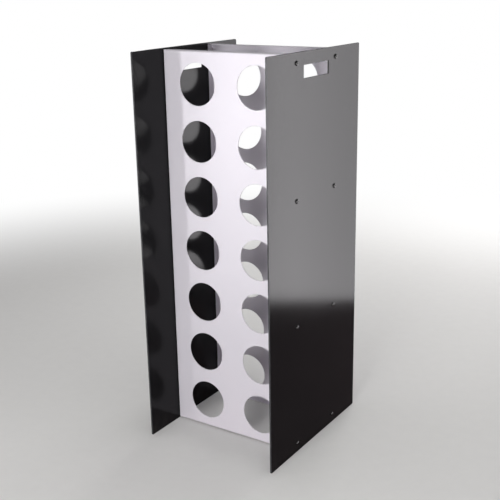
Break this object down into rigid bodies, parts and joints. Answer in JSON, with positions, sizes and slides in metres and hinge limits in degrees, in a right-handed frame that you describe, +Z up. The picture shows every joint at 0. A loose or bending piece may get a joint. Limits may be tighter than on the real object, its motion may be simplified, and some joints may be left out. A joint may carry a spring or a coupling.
{
  "type": "wine rack",
  "caption": "Free-standing upright wine rack: two dark sheet-metal side panels with hand slots hold a front and a rear folded panel pierced with rows of round bottle holes.",
  "frame": {"origin": "on the floor, midway between the side panels' outer faces and midway between their front and rear edges", "axes": "+Z up, +X to the right seen from the front, -Y towards the front, where the bottle necks point"},
  "size_m": [0.3056, 0.35, 0.8],
  "materials": {
    "side_black": "black powder coat, semi-gloss",
    "panel_silver": "silver metallic powder coat, satin",
    "screw_black": "black oxide steel, lightly oiled",
    "nut_zinc": "bright zinc plate"
  },
  "bodies": {
    "root": {"left_side_panel": "side_black", "right_side_panel": "side_black", "front_bottle_panel": "panel_silver", "rear_bottle_panel": "panel_silver", "rivet_nut_left_front_1": "nut_zinc", "button_screw_left_front_1": "screw_black", "rivet_nut_left_front_2": "nut_zinc", "button_screw_left_front_2": "screw_black", "rivet_nut_left_front_3": "nut_zinc", "button_screw_left_front_3": "screw_black", "rivet_nut_left_front_4": "nut_zinc", "button_screw_left_front_4": "screw_black", "rivet_nut_left_rear_1": "nut_zinc", "button_screw_left_rear_1": "screw_black", "rivet_nut_left_rear_2": "nut_zinc", "button_screw_left_rear_2": "screw_black", "rivet_nut_left_rear_3": "nut_zinc", "button_screw_left_rear_3": "screw_black", "rivet_nut_left_rear_4": "nut_zinc", "button_screw_left_rear_4": "screw_black", "rivet_nut_right_front_1": "nut_zinc", "button_screw_right_front_1": "screw_black", "rivet_nut_right_front_2": "nut_zinc", "button_screw_right_front_2": "screw_black", "rivet_nut_right_front_3": "nut_zinc", "button_screw_right_front_3": "screw_black", "rivet_nut_right_front_4": "nut_zinc", "button_screw_right_front_4": "screw_black", "rivet_nut_right_rear_1": "nut_zinc", "button_screw_right_rear_1": "screw_black", "rivet_nut_right_rear_2": "nut_zinc", "button_screw_right_rear_2": "screw_black", "rivet_nut_right_rear_3": "nut_zinc", "button_screw_right_rear_3": "screw_black", "rivet_nut_right_rear_4": "nut_zinc", "button_screw_right_rear_4": "screw_black"}
  },
  "joints": []
}
